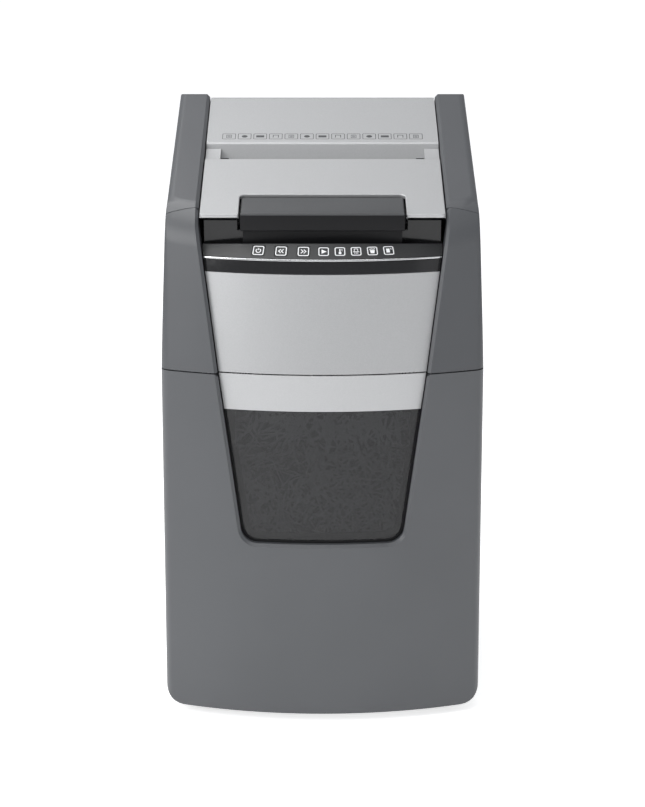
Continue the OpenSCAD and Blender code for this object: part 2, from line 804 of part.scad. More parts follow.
/* Bin */
bin_low = foot_h + 12.4;
tub_inset = 16;
tub_back = 150;
module tub_shape(t, z0) {
    intersection() {
        upright(tub_inset + t, z0, tub_top + 1);
        box(-160 + t, 160 - t, front_y, tub_back - t, 0, tub_top + 1);
    }
}
module bin_tub() {
    color("dimgray") difference() {
        intersection() {
            tub_shape(0, bin_low);
            box(-200, 200, front_y, back_y, 0, tub_top);
        }
        tub_shape(tub_wall, bin_low + tub_wall);
        along_y(front_y, -120, opening(-9, 318));
        both_sides() box(80, open_half(330) - 9, front_y, -120, 310, 350);
    }
}
module bin_fascia() {
    color("dimgray") difference() {
        union() {
            difference() {
                cabinet_form(0);
                cabinet_form(wall);
                box(-150, 150, front_y + 60, 0, 0, seam_z + 50);
                box(-150, 150, -164, 0, 0, 40);
            }
            intersection() {
                difference() {
                    upright(1, 100, seam_z - shut);
                    upright(tub_inset - 0.2, 90, seam_z + 1);
                }
                along_y(front_y - 10, -120, opening(wall, seam_z + 5));
            }
        }
        box(-body_w, body_w, side_front_y - 1.2, back_y + 1, 0, seam_z + 50);
        box(-body_w, body_w, front_y - 10, 0, seam_z - shut, seam_z + 50);
        along_y(front_y - 10, side_front_y, opening(0, seam_z + 1));
    }
}
trim_low = 354.5;
module bin_trim() {
    color("silver") intersection() {
        difference() {
            upright(recess, trim_low, seam_z - shut);
            upright(recess + 2.5, 0, seam_z + 1);
        }
        along_y(front_y, -100, opening(-1, seam_z + 1));
    }
}
frame_w = 3;
module bin_window() {
    color("dimgray", 0.6) intersection() {
        difference() {
            upright(recess + 0.8, window_low + frame_w, trim_low - 0.2);
            upright(recess + 3, 0, seam_z);
        }
        along_y(front_y, -100, opening(-frame_w - 0.1, seam_z));
    }
}
module window_frame() {
    color("black") intersection() {
        difference() {
            upright(recess, window_low - 5, trim_low - 0.2);
            upright(recess + 4, 0, seam_z);
        }
        difference() {
            along_y(front_y, -100, opening(-0.3, seam_z));
            along_y(front_y - 1, -99, opening(-frame_w, seam_z + 1));
        }
    }
}

/* Lid */
lid_half = lid_w / 2;
skin = 2.5;
join = 0.3;
slot_rear = 46.5;
slot_front = 3.2;
flap_front = -138;
slot_half = 116;
function drop(y, d) = [y, top_z(y) - d / cos(top_slope)];
hinge_c = [ridge_y, hinge_z];
module lid_upper() {
    tail = -25;
    color("silver") {
        along_x(-lid_half, lid_half, concat(
            [drop(slot_rear + 2, skin), drop(slot_rear, skin), drop(slot_rear, 0)],
            arc(hinge_c, hinge_r - 0.2, 90 + top_slope, tail, 10),
            arc(hinge_c, hinge_r - skin, tail, 90 + top_slope, 10)
        ));
        along_x(-lid_half, lid_half, [
            drop(slot_rear + 3, skin - join), drop(slot_rear - 3, 15.2), drop(slot_rear - 5.5, 15.2),
            drop(slot_rear, skin - join)
        ]);
        along_x(-107, 107, [
            drop(slot_rear - 3, 15), drop(slot_rear - 7, 24), drop(slot_rear - 9.5, 24),
            drop(slot_rear - 5.5, 15)
        ]);
        both_sides() {
            along_x(lid_half - skin, lid_half, [
                drop(slot_rear, skin - join), drop(150, skin - join), drop(150, 15.5),
                drop(slot_rear - 4, 15.5)
            ]);
            along_x(slot_half, lid_half, [
                drop(slot_rear - 2.2, 6), drop(slot_front + 0.6, 6), drop(slot_front + 0.6, 15.5),
                drop(slot_rear - 5, 15.5)
            ]);
        }
    }
}
notch_half = 90.5;
notch_back = -88.5;
module lid_flap() {
    color("silver") difference() {
        union() {
            along_x(-lid_half, lid_half, [
                drop(flap_front, 0), drop(slot_front, 0), drop(slot_front, skin),
                drop(flap_front + 2.8, skin), drop(flap_front + 3.1, 3.4), drop(flap_front + 0.6, 3.4)
            ]);
            along_x(-slot_half + 0.4, slot_half - 0.4, [
                drop(slot_front - 2.2, skin - join), drop(slot_front, skin - join),
                drop(slot_front + 2, 15.5), drop(slot_front - 0.2, 15.5)
            ]);
            both_sides() {
                along_x(lid_half - skin, lid_half, [
                    drop(flap_front + 4, skin - join), drop(slot_front, skin - join),
                    drop(slot_front, 15.5), drop(-108, 15.5)
                ]);
                along_x(notch_half, notch_half + 3, [
                    drop(-120, skin - join), drop(notch_back, skin - join),
                    drop(notch_back, 15.5), drop(-114, 15.5)
                ]);
            }
        }
        box(-notch_half, notch_half, flap_front - 20, notch_back, 500, 640);
        rod(handle_pivot, handle_pin_r + run_gap, -120, 120);
    }
}
module lid_liner() {
    color("dimgray") difference() {
        union() {
            along_x(-lid_half + 3, lid_half - 3, [
                drop(-119, 15.7), drop(148, 15.7), drop(148, 18), drop(-119, 18)
            ]);
            both_sides() {
                along_x(112, 129, [
                    drop(146, 15.8), [ridge_y - 4, hinge_z + 8], [ridge_y - 4, hinge_z - 8], drop(146, 21)
                ]);
                rod(hinge_c, 9, 112, 129);
                along_x(plate_half + 2.5, plate_half + 5.5, [
                    drop(132, 17.9), drop(150, 17.9), drop(146, 30), drop(134, 30)
                ]);
            }
        }
        box(-slot_half, slot_half, slot_front + 4.4, slot_rear - 2, 500, 640);
        box(-notch_half + 1, notch_half - 1, -140, notch_back + 1, 500, 640);
        rod(hinge_c, lid_pin_r + 0.02, -200, 200);
        rod(plate_pivot, handle_pin_r + run_gap, -200, 200);
    }
}
module hinge_pins() {
    color("silver") both_sides() rod(hinge_c, lid_pin_r, 112, open_max + wall - 0.2);
}

module lid_handle() {
    color("dimgray") {
        difference() {
            along_x(-handle_half, handle_half, rounded([
                [-91.5, 570.6], [-145, 562.3], [-145, 543], [-124, 543], [-100, 556], [-91.5, 556]
            ], [2, 3, 2, 0, 0, 0], 4));
            along_x(-handle_half + 3, handle_half - 3, [
                [-94, 566.5], [-142, 559], [-142, 546], [-141.9, 540], [-128, 540], [-100, 553], [-94, 553]
            ]);
        }
        along_x(-86, 86, [
            [-137.5, 545], [-137.5, 528.5], [-127.5, 528.5], [-127.5, 545], [-130, 545],
            [-130, 531], [-135, 531], [-135, 545]
        ]);
        both_sides() {
            along_x(83.5, 86, [[-137.5, 528.5], [-127.5, 528.5], [-127.5, 548], [-137.5, 548]]);
            rod(handle_pivot, handle_pin_r, handle_half - 3, notch_half + 2.6);
        }
    }
}

plate_hang = 2.6;
module pressure_plate() {
    color("dimgray") translate([0, plate_pivot.x, plate_pivot.y]) rotate([top_slope + plate_hang, 0, 0]) {
        difference() {
            box(-plate_half + 3, plate_half - 3, -246, -5, -1, 1);
            box(-109, 109, -138, -98, -5, 5);
        }
        both_sides() {
            box(plate_half - 3.2, plate_half, -246, 0, -1, 4);
            translate([plate_half - 12, 0, 0]) rotate([0, 90, 0]) cylinder(r = handle_pin_r, h = 17);
            box(plate_half - 12, plate_half - 9, -8, 0, -1, 1);
        }
    }
}
module plate_springs() {
    color("silver") both_sides() difference() {
        rod(plate_pivot, 4.2, plate_half - 8.6, plate_half - 3.4);
        rod(plate_pivot, handle_pin_r + 0.1, 0, 200);
    }
}

base_pan();
side_panel_left();
side_panel_right();
back_panel();
rubber_feet();
head_floor();
head_side_left();
head_side_right();
rail_left();
rail_right();
rear_cover();
front_panel();
accent_band();
chrome_strip();
control_panel();
indicator_lenses();
recess_trim();
control_board();
paper_tray();
cutter_frame_left();
cutter_frame_right();
tie_bars();
shaft_bearings();
stripper_combs();
motor_can();
motor_bracket();
gear_pins();
gear_cover();
power_board();
motor_capacitor();
paper_sensor();
bin_switch();
cord_gland();
switch_housing();
screws();
bin_tub();
bin_fascia();
bin_trim();
bin_window();
window_frame();
lid_upper();
lid_flap();
lid_liner();
hinge_pins();
lid_handle();
pressure_plate();
plate_springs();
power_key();
reverse_key();
forward_key();
drive_cutter();
driven_cutter();
reduction_gear();
motor_rotor();
motor_fan();
front_idler();
rear_idler();
front_roller();
rear_roller();
power_rocker();
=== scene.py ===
import functools
import json
import math
import random

import bmesh
import bpy
from mathutils import Matrix, Vector, noise


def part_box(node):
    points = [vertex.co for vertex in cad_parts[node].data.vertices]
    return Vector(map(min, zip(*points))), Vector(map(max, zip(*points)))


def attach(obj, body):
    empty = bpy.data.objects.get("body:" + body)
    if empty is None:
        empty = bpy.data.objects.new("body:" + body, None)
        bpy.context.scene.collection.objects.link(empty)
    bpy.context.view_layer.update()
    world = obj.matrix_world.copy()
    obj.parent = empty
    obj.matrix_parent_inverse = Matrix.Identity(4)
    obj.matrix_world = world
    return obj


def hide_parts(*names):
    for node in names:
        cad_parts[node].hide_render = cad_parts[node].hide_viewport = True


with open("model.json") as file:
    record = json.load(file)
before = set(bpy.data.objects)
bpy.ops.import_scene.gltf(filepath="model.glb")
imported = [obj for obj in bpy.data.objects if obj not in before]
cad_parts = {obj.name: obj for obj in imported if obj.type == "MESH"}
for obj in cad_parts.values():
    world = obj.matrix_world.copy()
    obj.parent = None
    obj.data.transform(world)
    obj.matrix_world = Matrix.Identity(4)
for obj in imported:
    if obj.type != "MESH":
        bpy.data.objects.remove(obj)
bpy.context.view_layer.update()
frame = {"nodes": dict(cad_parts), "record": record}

MM = 0.001
box_of = functools.lru_cache(maxsize=None)(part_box)
slots = {row["node"]: row["material_slot"] for row in frame["record"]["subparts"]}
scene = bpy.context.scene
scene.view_settings.view_transform = "Standard"

# Shells, in metres. Edges that turn by more than SHARP_EDGE degrees are rounded.
SHARP_EDGE = 28
OPENING_HALF = 0.1365       # edges further from the middle aren't edges of the opening
OPENING_CHAMFER = 0.0034    # chamfer round the opening
SLOT_LIP = 0.0019           # chamfer along the back of the manual slot

# Lid and handle, in millimetres, except for the slot's Y in metres.
SLOT_FRONT_Y = 0.0032       # front edge of the manual slot
FLAP_PLATE = 3.5            # thickness of the plate that is made anew
HANDLE_HALF = 88.5          # half the width of the handle's body, without its pins
HANDLE_PROUD = 0.15         # how far the cap stands out from the body
CAP_DEPTH = 3.4
NOTCH_GAP = 2               # between the handle's sides and the lid's notch
NOTCH_GAP_BACK = 3

# Printed marks, in millimetres: the ink's top and underside, and the row on the lid.
INK_TOP = 0.1
INK_LOW = -0.03
LID_MARK_COUNT = 13
LID_MARK_PITCH = 17.9
LID_MARK_Y = 0.0635         # the row's Y, in metres

# Screws on the back, in millimetres.
HEAD_SCREW = 2              # height of a screw's head above the seam
PANEL_SCREW = 1.4           # and below it
SCREW_SIDES = 24

# Coils of the pressure plate's springs, in metres.
COIL_RADIUS = 0.0037
COIL_WIRE = 0.00045         # radius of the wire
COIL_END = 0.0006           # from the end of the CAD's tube to the middle of the wire
COIL_TURNS = 4.5
COIL_STEPS = 90

# Shredded paper, in metres.
BOW_R = 0.44                # radius of the bowed front
TUB_FRONT_INSET = 0.0225    # from the bin's front to the inside of the tub's front wall
HEAP_TOP = 0.348            # height of the heap at the front
HEAP_SLOPE = 0.14           # fall towards the back, for each metre
HEAP_LUMP = 0.003           # size of the lumps in its sides
HEAP_COLUMNS = 46
HEAP_ROWS = 40
HEAP_LEVELS = 14
PAPER = 0.00015             # thickness of a strip
STRIP_STEPS = 5
FRONT_STRIPS = 1500         # tries at strips on the heap's front
TOP_STRIPS = 4200           # tries at strips on its top
WINDOW_STRIPS = 170         # strips between the tub and the window
FRONT_STRIPS_LOW = 0.212    # lowest strip on the heap's front
FRONT_STRIPS_HALF = 0.132   # half the width over which these lie
WINDOW_STRIPS_LOW = 0.322   # lowest strip between the tub and the window
WINDOW_STRIPS_HALF = 0.086  # half the width over which these lie
WINDOW_STRIPS_OUT = 0.0083  # how far they are in front of the tub's inside

FLOOR_SIZE = 14


# Camera and light

def add_camera():
    """A long lens, 2.7 m in front, that looks down by 15 degrees."""
    data = bpy.data.cameras.new("camera")
    data.sensor_fit = "VERTICAL"
    data.sensor_height = 36
    data.lens = 108.2
    camera = bpy.data.objects.new("camera", data)
    camera.location = (0, -2.71, 1.039)
    camera.rotation_euler = (math.radians(75), 0, 0)
    scene.collection.objects.link(camera)
    scene.camera = camera


def add_area(name, place, target, size, power, depth=None):
    """A soft light at place that faces target: size wide, and as deep unless depth is given."""
    data = bpy.data.lights.new(name, "AREA")
    data.shape = "RECTANGLE"
    data.size = size
    data.size_y = depth or size
    data.energy = power
    light = bpy.data.objects.new(name, data)
    light.location = place
    light.rotation_euler = (Vector(target) - Vector(place)).to_track_quat("-Z", "Y").to_euler()
    scene.collection.objects.link(light)


def add_lights():
    """Soft lights from the left, above and the right, a strip over the shoulders, a pale room."""
    middle = (0, 0, 0.35)
    add_area("key", (-1.9, -1.7, 1.7), middle, 1.5, 37)
    add_area("top", (-0.7, 0.6, 2.6), middle, 1.8, 36)
    add_area("shoulder", (-0.3, -0.75, 2.3), middle, 2.4, 12, 0.32)
    add_area("fill", (2.4, -2.2, 1.0), middle, 2.0, 5)
    world = bpy.data.worlds.new("studio")
    world.use_nodes = True
    background = world.node_tree.nodes["Background"]
    background.inputs["Color"].default_value = (0.95, 0.97, 1, 1)
    background.inputs["Strength"].default_value = 0.38
    scene.world = world


# Materials

def new_material(name):
    """A material with a Principled shader, as (material, nodes, links, shader)."""
    material = bpy.data.materials.new(name)
    material.use_nodes = True
    tree = material.node_tree
    return material, tree.nodes, tree.links, tree.nodes["Principled BSDF"]


def object_point(nodes):
    return nodes.new("ShaderNodeTexCoord").outputs["Object"]


def noise_node(nodes, links, point, scale, detail=3, stretch=None):
    """Noise over the object, scale in waves per metre, drawn out along an axis by stretch."""
    if stretch:
        mapping = nodes.new("ShaderNodeMapping")
        mapping.inputs["Scale"].default_value = stretch
        links.new(point, mapping.inputs["Vector"])
        point = mapping.outputs["Vector"]
    texture = nodes.new("ShaderNodeTexNoise")
    texture.inputs["Scale"].default_value = scale
    texture.inputs["Detail"].default_value = detail
    links.new(point, texture.inputs["Vector"])
    return texture.outputs["Fac"]


def ramp(nodes, links, value, low, high):
    """Colours or numbers between low and high, spread over the middle of a noise."""
    spread = nodes.new("ShaderNodeMapRange")
    spread.inputs["From Min"].default_value = 0.3
    spread.inputs["From Max"].default_value = 0.7
    spread.inputs["To Min"].default_value = low
    spread.inputs["To Max"].default_value = high
    links.new(value, spread.inputs["Value"])
    return spread.outputs["Result"]


def tinted(nodes, links, value, colour, change):
    """The colour, lighter and darker by change where value is high and low."""
    mix = nodes.new("ShaderNodeMix")
    mix.data_type = "RGBA"
    mix.inputs["A"].default_value = [c * (1 - change) for c in colour] + [1]
    mix.inputs["B"].default_value = [min(1, c * (1 + change)) for c in colour] + [1]
    links.new(ramp(nodes, links, value, 0, 1), mix.inputs["Factor"])
    return mix.outputs["Result"]


def bumped(nodes, links, shader, height, depth, strength):
    """Gives the shader a relief that follows height, depth metres from low to high."""
    bump = nodes.new("ShaderNodeBump")
    bump.inputs["Distance"].default_value = depth
    bump.inputs["Strength"].default_value = strength
    links.new(height, bump.inputs["Height"])
    links.new(bump.outputs["Normal"], shader.inputs["Normal"])


def moulded(name, colour, roughness, grain=1400, depth=0.00004, strength=0.5, tone_change=0.035,
            **sockets):
    """Moulded plastic, rubber or paint: fine grain, slow changes of tone, uneven gloss."""
    material, nodes, links, shader = new_material(name)
    point = object_point(nodes)
    fine = noise_node(nodes, links, point, grain)
    slow = noise_node(nodes, links, point, 9, 2)
    links.new(tinted(nodes, links, slow, colour, tone_change), shader.inputs["Base Color"])
    links.new(ramp(nodes, links, fine, roughness - 0.05, roughness + 0.05), shader.inputs["Roughness"])
    bumped(nodes, links, shader, fine, depth, strength)
    for socket, value in sockets.items():
        shader.inputs[socket.replace("_", " ")].default_value = value
    return material


def metal(name, colour, roughness, stretch=(1, 1, 1), depth=0.00002, change=0.08):
    """Bare metal with fine lines along one axis and a mottled tone."""
    material, nodes, links, shader = new_material(name)
    point = object_point(nodes)
    lines = noise_node(nodes, links, point, 900, 4, stretch)
    stain = noise_node(nodes, links, point, 45, 3)
    links.new(tinted(nodes, links, stain, colour, change), shader.inputs["Base Color"])
    links.new(ramp(nodes, links, lines, roughness - 0.08, roughness + 0.1), shader.inputs["Roughness"])
    bumped(nodes, links, shader, lines, depth, 0.6)
    shader.inputs["Metallic"].default_value = 1
    return material


def silver_paint(name, colour):
    """Metallic paint with small flakes under a satin surface."""
    material, nodes, links, shader = new_material(name)
    point = object_point(nodes)
    flakes = nodes.new("ShaderNodeTexVoronoi")
    flakes.inputs["Scale"].default_value = 2600
    links.new(point, flakes.inputs["Vector"])
    links.new(tinted(nodes, links, flakes.outputs["Color"], colour, 0.05), shader.inputs["Base Color"])
    fine = noise_node(nodes, links, point, 1200)
    links.new(ramp(nodes, links, fine, 0.36, 0.46), shader.inputs["Roughness"])
    bumped(nodes, links, shader, fine, 0.00003, 0.4)
    shader.inputs["Metallic"].default_value = 0.35
    return material


def smoked_glass(name, share, roughness):
    """Dark clear plastic: lets part of the light through and mirrors a little of the room."""
    material, nodes, links, shader = new_material(name)
    fine = noise_node(nodes, links, object_point(nodes), 300)
    links.new(ramp(nodes, links, fine, roughness, roughness + 0.03), shader.inputs["Roughness"])
    shader.inputs["Base Color"].default_value = (0.012, 0.012, 0.013, 1)
    clear = nodes.new("ShaderNodeBsdfTransparent")
    clear.inputs["Color"].default_value = (0.93, 0.94, 0.96, 1)
    mix = nodes.new("ShaderNodeMixShader")
    mix.inputs["Fac"].default_value = 1 - share
    links.new(clear.outputs["BSDF"], mix.inputs[1])
    links.new(shader.outputs["BSDF"], mix.inputs[2])
    links.new(mix.outputs["Shader"], nodes["Material Output"].inputs["Surface"])
    return material


def paper_material(name, colour):
    """White paper with fibres and faint grey print."""
    material, nodes, links, shader = new_material(name)
    point = object_point(nodes)
    fibres = noise_node(nodes, links, point, 1800, 4)
    print_marks = noise_node(nodes, links, point, 160, 2)
    mix = nodes.new("ShaderNodeMix")
    mix.data_type = "RGBA"
    mix.inputs["A"].default_value = [*colour, 1]
    mix.inputs["B"].default_value = (0.3, 0.3, 0.32, 1)
    spread = nodes.new("ShaderNodeMapRange")
    spread.inputs["From Min"].default_value = 0.6
    spread.inputs["From Max"].default_value = 0.7
    links.new(print_marks, spread.inputs["Value"])
    links.new(spread.outputs["Result"], mix.inputs["Factor"])
    links.new(mix.outputs["Result"], shader.inputs["Base Color"])
    shader.inputs["Roughness"].default_value = 0.85
    bumped(nodes, links, shader, fibres, 0.00005, 0.4)
    return material


def make_materials():
    """One material for each of the record's slots, and those of the loose pieces."""
    return {
        "graphite_plastic": moulded("graphite_plastic", (0.0735, 0.0768, 0.083), 0.4),
        "silver_plastic": silver_paint("silver_plastic", (0.43, 0.434, 0.44)),
        "gloss_black": moulded("gloss_black", (0.012, 0.012, 0.013), 0.14, 300, 0.00001, 0.2),
        "chrome_trim": metal("chrome_trim", (0.82, 0.83, 0.84), 0.14, (0.05, 1, 1), 0.000005, 0.03),
        "panel_plastic": moulded("panel_plastic", (0.018, 0.019, 0.02), 0.42),
        "handle_plastic": moulded("handle_plastic", (0.053, 0.055, 0.058), 0.45),
        "indicator_lens": moulded("indicator_lens", (0.018, 0.019, 0.021), 0.3, 600, 0.00001, 0.2),
        "smoked_window": smoked_glass("smoked_window", 0.34, 0.06),
        "black_plastic": moulded("black_plastic", (0.008, 0.008, 0.009), 0.5, Specular_IOR_Level=0.2),
        "bin_plastic": moulded("bin_plastic", (0.045, 0.047, 0.05), 0.5, 900, 0.00006, 0.6),
        "foot_rubber": moulded("foot_rubber", (0.02, 0.02, 0.021), 0.8, 700, 0.0001, 0.8),
        "zinc_steel": metal("zinc_steel", (0.62, 0.63, 0.62), 0.34, (1, 1, 0.1)),
        "cutter_steel": metal("cutter_steel", (0.4, 0.4, 0.41), 0.3, (1, 0.2, 0.2), 0.00003, 0.2),
        "bearing_bronze": metal("bearing_bronze", (0.6, 0.4, 0.2), 0.36, (0.2, 1, 1)),
        "motor_steel": metal("motor_steel", (0.25, 0.25, 0.26), 0.4, (1, 0.1, 1)),
        "gear_plastic": moulded("gear_plastic", (0.74, 0.72, 0.64), 0.42, 600, 0.00003, 0.4),
        "roller_rubber": moulded("roller_rubber", (0.03, 0.03, 0.03), 0.85, 700, 0.0001, 0.8),
        "circuit_board": moulded("circuit_board", (0.01, 0.11, 0.045), 0.3, 500, 0.00004, 0.5),
        "symbol_ink": moulded("symbol_ink", (0.86, 0.87, 0.88), 0.45),
        "lid_ink": moulded("lid_ink", (0.05, 0.05, 0.055), 0.5),
        "paper": paper_material("paper", (0.8, 0.8, 0.79)),
        # The paper heap's near-black colour is painted shade for the depths among the white strips.
        "heap_painted_shade": moulded("heap_painted_shade", (0.04, 0.04, 0.04), 0.9, 420, 0.0006, 1, 0.3),
        "floor": moulded("floor", (0.9, 0.9, 0.9), 0.7, 60, 0.0001, 0.1, tone_change=0,
                         Emission_Color=(1, 1, 1, 1), Emission_Strength=0.7),
    }


# Mesh helpers

def add_piece(name, bm, body, slot=None, material=None, replaced=(), smooth=35):
    """Makes a mesh object from bm that rides on body and takes its finish from slot.

    A piece with no slot names its material. Edges under smooth degrees are shaded smooth.
    """
    mesh = bpy.data.meshes.new(name)
    bm.normal_update()
    bm.to_mesh(mesh)
    bm.free()
    mesh.materials.append(materials[material or slot])
    if smooth:
        mesh.polygons.foreach_set("use_smooth", [True] * len(mesh.polygons))
        mesh.set_sharp_from_angle(angle=math.radians(smooth))
    piece = bpy.data.objects.new(name, mesh)
    scene.collection.objects.link(piece)
    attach(piece, body)
    if replaced:
        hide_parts(*replaced)
    return piece


def body_of(node):
    """The body that a CAD node moves with."""
    for body, members in frame["record"]["behaviour"]["bodies"].items():
        if node in members:
            return body


def cad_bmesh(node):
    """A node's own surface with its flat triangles joined into whole faces."""
    bm = bmesh.new()
    bm.from_mesh(frame["nodes"][node].data)
    bmesh.ops.remove_doubles(bm, verts=bm.verts, dist=1e-6)
    bmesh.ops.dissolve_limit(bm, angle_limit=math.radians(0.3), verts=bm.verts, edges=bm.edges)
    return bm


def soften(bm, width, segments=3, chosen=None, clamp=True):
    """Rounds the sharp edges: all of them, or the chosen ones. One segment gives a chamfer."""
    edges = [
        edge for edge in bm.edges
        if len(edge.link_faces) == 2 and edge.calc_face_angle(0) > math.radians(SHARP_EDGE)
        and (chosen is None or chosen(edge))
    ]
    bmesh.ops.bevel(
        bm, geom=edges, offset=width, offset_type="OFFSET", segments=segments, profile=0.5,
        affect="EDGES", clamp_overlap=clamp,
    )


def add_shell(node, width, chosen=None, chamfer=0):
    """A shell that stands for the node: the chosen edges are chamfered, the others rounded."""
    bm = cad_bmesh(node)
    if chamfer:
        soften(bm, chamfer, segments=1, chosen=chosen, clamp=False)
    soften(bm, width)
    finish_shell(node, bm)


def finish_shell(node, bm):
    """Makes the piece that stands for the node, shaded so that its large faces look flat."""
    piece = add_piece("shell_" + node, bm, body_of(node), slots[node], replaced=[node])
    weighted = piece.modifiers.new("normals", "WEIGHTED_NORMAL")
    weighted.keep_sharp = True


def inset_outline(points, amount):
    """The closed outline, counter-clockwise, moved inwards by amount."""
    moved = []
    for i, point in enumerate(points):
        before = (point - points[i - 1]).normalized()
        after = (points[(i + 1) % len(points)] - point).normalized()
        inwards = Vector((-before.y - after.y, before.x + after.x))
        inwards /= max(0.5, inwards.length_squared / 2)
        moved.append(point + inwards * amount)
    return moved


def outline(corners, steps=6):
    """A closed outline through (x, y, radius) corners in millimetres, each one rounded."""
    points = []
    for i, (x, y, radius) in enumerate(corners):
        corner = Vector((x, y))
        before = Vector(corners[i - 1][:2]) - corner
        after = Vector(corners[(i + 1) % len(corners)][:2]) - corner
        if not radius:
            points.append(corner)
            continue
        half = before.angle(after) / 2
        start = corner + before.normalized() * radius / math.tan(half)
        end = corner + after.normalized() * radius / math.tan(half)
        inwards = (before.normalized() + after.normalized()).normalized()
        middle = corner + inwards * radius / math.sin(half)
        for k in range(steps + 1):
            spoke = start.lerp(end, k / steps) - middle
            points.append(middle + spoke.normalized() * radius)
    return points


def slab(bm, place, points, levels):
    """A closed solid over an outline in millimetres: (inset, height) levels from the top down."""
    rings = []
    for inset, height in levels:
        moved = inset_outline(points, inset)
        rings.append([bm.verts.new(place @ Vector((p.x * MM, p.y * MM, height * MM))) for p in moved])
    bm.faces.new(rings[0])
    bm.faces.new(rings[-1][::-1])
    for upper, lower in zip(rings, rings[1:]):
        for i in range(len(upper)):
            j = (i + 1) % len(upper)
            bm.faces.new((upper[i], lower[i], lower[j], upper[j]))


def band(bm, place, left, right, closed):
    """A band of ink between two lines of points in millimetres, which may close on itself."""
    corners = []
    for a, b in zip(left, right):
        ends = ((a, INK_TOP), (b, INK_TOP), (b, INK_LOW), (a, INK_LOW))
        corners.append([bm.verts.new(place @ Vector((p.x * MM, p.y * MM, h * MM))) for p, h in ends])
    count = len(corners)
    for i in range(count if closed else count - 1):
        near, far = corners[i], corners[(i + 1) % count]
        for k in range(4):
            m = (k + 1) % 4
            bm.faces.new((near[k], near[m], far[m], far[k]))
    if not closed:
        bm.faces.new(corners[0][::-1])
        bm.faces.new(corners[-1])


def stroke(bm, place, points, width):
    """A line of even width through (x, y) points in millimetres."""
    points = [Vector(p) for p in points]
    sides = []
    for i, point in enumerate(points):
        before = (point - points[max(i - 1, 0)]).normalized() if i else None
        after = (points[i + 1] - point).normalized() if i + 1 < len(points) else None
        along = ((before or after) + (after or before)).normalized()
        lean = max(0.4, along.dot(after or before))
        sides.append(Vector((-along.y, along.x)) * width / 2 / lean)
    left = [p + s for p, s in zip(points, sides)]
    right = [p - s for p, s in zip(points, sides)]
    band(bm, place, left, right, False)


def frame_mark(bm, place, half, radius, width):
    """A rounded square outline."""
    corners = [(x * half, y * half, radius) for x, y in ((-1, -1), (1, -1), (1, 1), (-1, 1))]
    outer = outline(corners, 4)
    band(bm, place, outer, inset_outline(outer, width), True)


def dot_mark(bm, place, x, y, radius):
    """A round spot."""
    angles = circle_angles(16)
    fill_mark(bm, place, [(x + radius * math.cos(a), y + radius * math.sin(a)) for a in angles])


def fill_mark(bm, place, points):
    """A filled shape with straight sides, counter-clockwise."""
    slab(bm, place, [Vector(p) for p in points], [(0, INK_TOP), (0, INK_LOW)])


def circle_angles(count):
    """Angles spread evenly round a circle."""
    return [math.tau * i / count for i in range(count)]


def tube(bm, points, radius, sides=8):
    """A closed round wire through points in metres."""
    rings = []
    for i, point in enumerate(points):
        along = (points[min(i + 1, len(points) - 1)] - points[max(i - 1, 0)]).normalized()
        turn = along.to_track_quat("Z", "Y").to_matrix()
        rings.append([
            bm.verts.new(point + turn @ Vector((radius * math.cos(a), radius * math.sin(a), 0)))
            for a in circle_angles(sides)
        ])
    for near, far in zip(rings, rings[1:]):
        for k in range(sides):
            m = (k + 1) % sides
            bm.faces.new((near[k], near[m], far[m], far[k]))
    bm.faces.new(rings[0][::-1])
    bm.faces.new(rings[-1])


def separate_faces(bm):
    """The faces of each separate solid in bm, from left to right."""
    groups = []
    for face in bm.faces:
        face.tag = False
    for first in bm.faces:
        if first.tag:
            continue
        first.tag = True
        group = [first]
        for face in group:
            for edge in face.edges:
                for other in edge.link_faces:
                    if not other.tag:
                        other.tag = True
                        group.append(other)
        groups.append(group)
    groups.sort(key=lambda faces: sum(f.calc_center_median().x for f in faces) / len(faces))
    return groups


def outer_face(faces, towards):
    """Place on the largest face that looks towards a direction: X right, Y up it, Z out of it."""
    looking = [f for f in faces if f.normal.dot(towards.normalized()) > 0.8]
    face = max(looking, key=lambda f: f.calc_area())
    out = face.normal.normalized()
    right = Vector((0, 0, 1)).cross(out)
    right = (right if right.length > 0.01 else Vector((1, 0, 0))).normalized()
    up = out.cross(right)
    place = Matrix((right, up, out)).transposed().to_4x4()
    place.translation = face.calc_center_bounds()
    return place


# Outer shells

def is_opening_edge(edge):
    """A front edge of the opening in the middle, on a side part, a rail or the bin's front."""
    normals = [face.normal for face in edge.link_faces]
    middle = (edge.verts[0].co + edge.verts[1].co) / 2
    if not edge.is_convex or abs(middle.x) > OPENING_HALF:
        return False
    # Down the sides, a face that looks forwards or up meets one that looks to the middle.
    outer = [n for n in normals if n.y < -0.3 or n.z > 0.6]
    inner = [n for n in normals if abs(n.y) < 0.25 and n.z < 0.9]
    side = [n for n in inner if n.x * middle.x < -0.01]
    # Under the window, a face that looks forwards meets one that looks up.
    front = [n for n in normals if n.y < -0.6]
    sill = [n for n in normals if n.z > 0.8 and middle.z < box_of("bin_trim")[0][2]]
    return bool((outer and side) or (front and sill))


def is_slot_lip(edge):
    """The top edge along the back of the manual slot."""
    normals = [face.normal for face in edge.link_faces]
    return any(n.z > 0.9 for n in normals) and any(n.y < -0.6 for n in normals)


